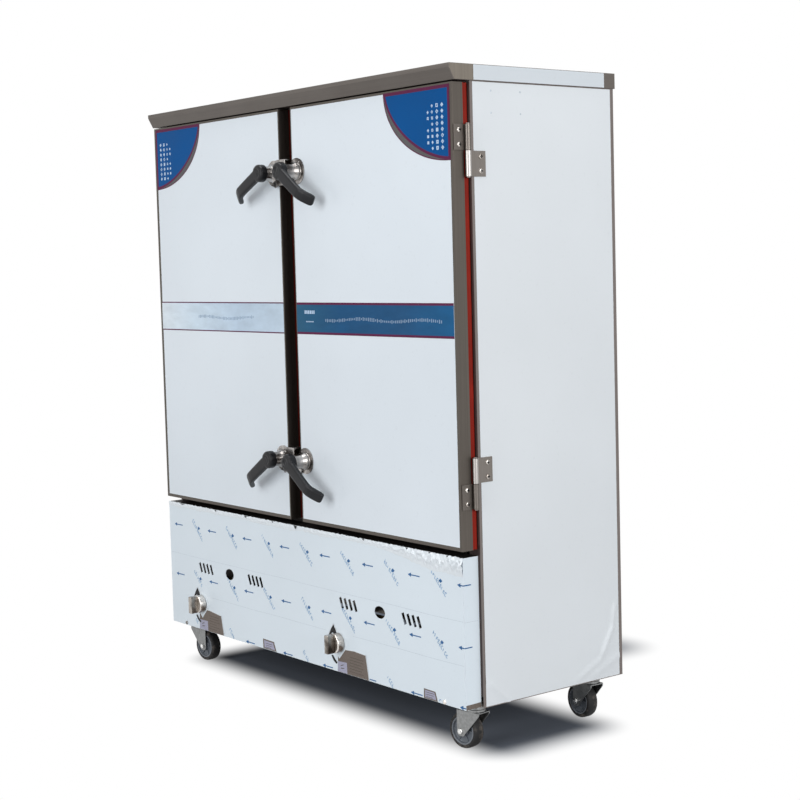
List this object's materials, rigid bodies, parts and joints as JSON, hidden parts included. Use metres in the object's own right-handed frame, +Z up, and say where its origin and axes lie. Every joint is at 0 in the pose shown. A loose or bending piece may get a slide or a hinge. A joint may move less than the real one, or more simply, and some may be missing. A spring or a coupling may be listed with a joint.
{
  "type": "commercial gas steamer",
  "caption": "Tall two-door steam cabinet on swivel casters, with tray rails above a gas-fired water tank, clamp levers on the doors and gas knobs on the front cover.",
  "frame": {"origin": "on the floor, at the middle of the overall box in X and Y", "axes": "+Z up; the doors face -Y; +X is to the right of someone facing the doors"},
  "size_m": [1.421, 0.629, 1.648],
  "materials": {
    "film_steel": "matte",
    "blue_film_steel": "satin",
    "bare_steel": "satin",
    "dark_steel": "satin",
    "polished_steel": "polished",
    "zinc_steel": "satin",
    "cast_iron": "matte",
    "brass": "satin",
    "red_silicone": "matte",
    "black_plastic": "matte",
    "foam": "matte",
    "grey_plastic": "satin",
    "black_rubber": "matte"
  },
  "bodies": {
    "cabinet": {"base_frame": "zinc_steel", "left_side_panel": "film_steel", "right_side_panel": "film_steel", "rear_panel": "bare_steel", "roof_cap": "dark_steel", "front_frame": "bare_steel", "left_chamber_liner": "bare_steel", "right_chamber_liner": "bare_steel", "foam_insulation": "foam", "tray_rails": "bare_steel", "water_tank": "bare_steel", "water_fittings": "brass", "flue_outlet": "bare_steel", "burners": "cast_iron", "gas_manifold": "zinc_steel", "gas_valves": "brass", "burner_cover": "blue_film_steel", "cover_screws": "polished_steel", "latch_keepers": "bare_steel", "cabinet_hinge_leaves": "bare_steel", "hinge_pins": "bare_steel", "cabinet_hinge_bolts": "polished_steel", "caster_plates": "zinc_steel", "caster_plate_bolts": "zinc_steel"},
    "left_door": {"left_door_outer_shell": "film_steel", "left_door_foam_core": "foam", "left_door_inner_skin": "bare_steel", "left_door_gasket": "red_silicone", "left_door_hinge_leaves": "bare_steel", "left_door_screws": "polished_steel", "left_door_latch_flanges": "bare_steel"},
    "upper_left_latch": {"upper_left_latch_lever": "black_plastic", "upper_left_latch_cam": "bare_steel"},
    "lower_left_latch": {"lower_left_latch_lever": "black_plastic", "lower_left_latch_cam": "bare_steel"},
    "left_knob": {"left_valve_knob": "polished_steel"},
    "right_door": {"right_door_outer_shell": "film_steel", "right_door_foam_core": "foam", "right_door_inner_skin": "bare_steel", "right_door_gasket": "red_silicone", "right_door_hinge_leaves": "bare_steel", "right_door_screws": "polished_steel", "right_door_latch_flanges": "bare_steel"},
    "upper_right_latch": {"upper_right_latch_lever": "black_plastic", "upper_right_latch_cam": "bare_steel"},
    "lower_right_latch": {"lower_right_latch_lever": "black_plastic", "lower_right_latch_cam": "bare_steel"},
    "right_knob": {"right_valve_knob": "polished_steel"},
    "front_left_swivel": {"front_left_caster_fork": "zinc_steel"},
    "front_left_wheel": {"front_left_caster_hub": "grey_plastic", "front_left_caster_tyre": "black_rubber"},
    "front_right_swivel": {"front_right_caster_fork": "zinc_steel"},
    "front_right_wheel": {"front_right_caster_hub": "grey_plastic", "front_right_caster_tyre": "black_rubber"},
    "rear_left_swivel": {"rear_left_caster_fork": "zinc_steel"},
    "rear_left_wheel": {"rear_left_caster_hub": "grey_plastic", "rear_left_caster_tyre": "black_rubber"},
    "rear_right_swivel": {"rear_right_caster_fork": "zinc_steel"},
    "rear_right_wheel": {"rear_right_caster_hub": "grey_plastic", "rear_right_caster_tyre": "black_rubber"}
  },
  "joints": [
    {"name": "left_door_swing", "type": "hinge", "parent": "cabinet", "child": "left_door", "pos_m": [-0.703, -0.2085, 1.05525], "axis": [0, 0, -1], "range_deg": [0, 180]},
    {"name": "right_door_swing", "type": "hinge", "parent": "cabinet", "child": "right_door", "pos_m": [0.703, -0.2085, 1.05525], "axis": [0, 0, 1], "range_deg": [0, 180]},
    {"name": "upper_left_latch_turn", "type": "hinge", "parent": "left_door", "child": "upper_left_latch", "pos_m": [-0.052, -0.2975, 1.437], "axis": [0, -1, 0], "range_deg": [0, 64]},
    {"name": "lower_left_latch_turn", "type": "hinge", "parent": "left_door", "child": "lower_left_latch", "pos_m": [-0.052, -0.2975, 0.669], "axis": [0, -1, 0], "range_deg": [0, 58]},
    {"name": "upper_right_latch_turn", "type": "hinge", "parent": "right_door", "child": "upper_right_latch", "pos_m": [0.052, -0.2975, 1.437], "axis": [0, 1, 0], "range_deg": [0, 55]},
    {"name": "lower_right_latch_turn", "type": "hinge", "parent": "right_door", "child": "lower_right_latch", "pos_m": [0.052, -0.2975, 0.669], "axis": [0, 1, 0], "range_deg": [0, 54]},
    {"name": "left_knob_turn", "type": "hinge", "parent": "cabinet", "child": "left_knob", "pos_m": [-0.518, -0.2575, 0.198], "axis": [0, 1, 0], "range_deg": [0, 90]},
    {"name": "right_knob_turn", "type": "hinge", "parent": "cabinet", "child": "right_knob", "pos_m": [0.176, -0.2575, 0.198], "axis": [0, 1, 0], "range_deg": [0, 90]},
    {"name": "front_left_caster_swivel", "type": "hinge", "parent": "cabinet", "child": "front_left_swivel", "pos_m": [-0.645, -0.1755, 0.1], "axis": [0, 0, 1], "continuous": true},
    {"name": "front_left_caster_roll", "type": "hinge", "parent": "front_left_swivel", "child": "front_left_wheel", "pos_m": [-0.61213, -0.17262, 0.045], "axis": [-0.0872, 0.9962, 0], "continuous": true},
    {"name": "front_right_caster_swivel", "type": "hinge", "parent": "cabinet", "child": "front_right_swivel", "pos_m": [0.645, -0.1755, 0.1], "axis": [0, 0, 1], "continuous": true},
    {"name": "front_right_caster_roll", "type": "hinge", "parent": "front_right_swivel", "child": "front_right_wheel", "pos_m": [0.61232, -0.18009, 0.045], "axis": [0.1392, -0.9903, 0], "continuous": true},
    {"name": "rear_left_caster_swivel", "type": "hinge", "parent": "cabinet", "child": "rear_left_swivel", "pos_m": [-0.645, 0.2125, 0.1], "axis": [0, 0, 1], "continuous": true},
    {"name": "rear_left_caster_roll", "type": "hinge", "parent": "rear_left_swivel", "child": "rear_left_wheel", "pos_m": [-0.61509, 0.22645, 0.045], "axis": [-0.4226, 0.9063, 0], "continuous": true},
    {"name": "rear_right_caster_swivel", "type": "hinge", "parent": "cabinet", "child": "rear_right_swivel", "pos_m": [0.645, 0.2125, 0.1], "axis": [0, 0, 1], "continuous": true},
    {"name": "rear_right_caster_roll", "type": "hinge", "parent": "rear_right_swivel", "child": "rear_right_wheel", "pos_m": [0.61208, 0.2148, 0.045], "axis": [-0.0698, -0.9976, 0], "continuous": true}
  ]
}
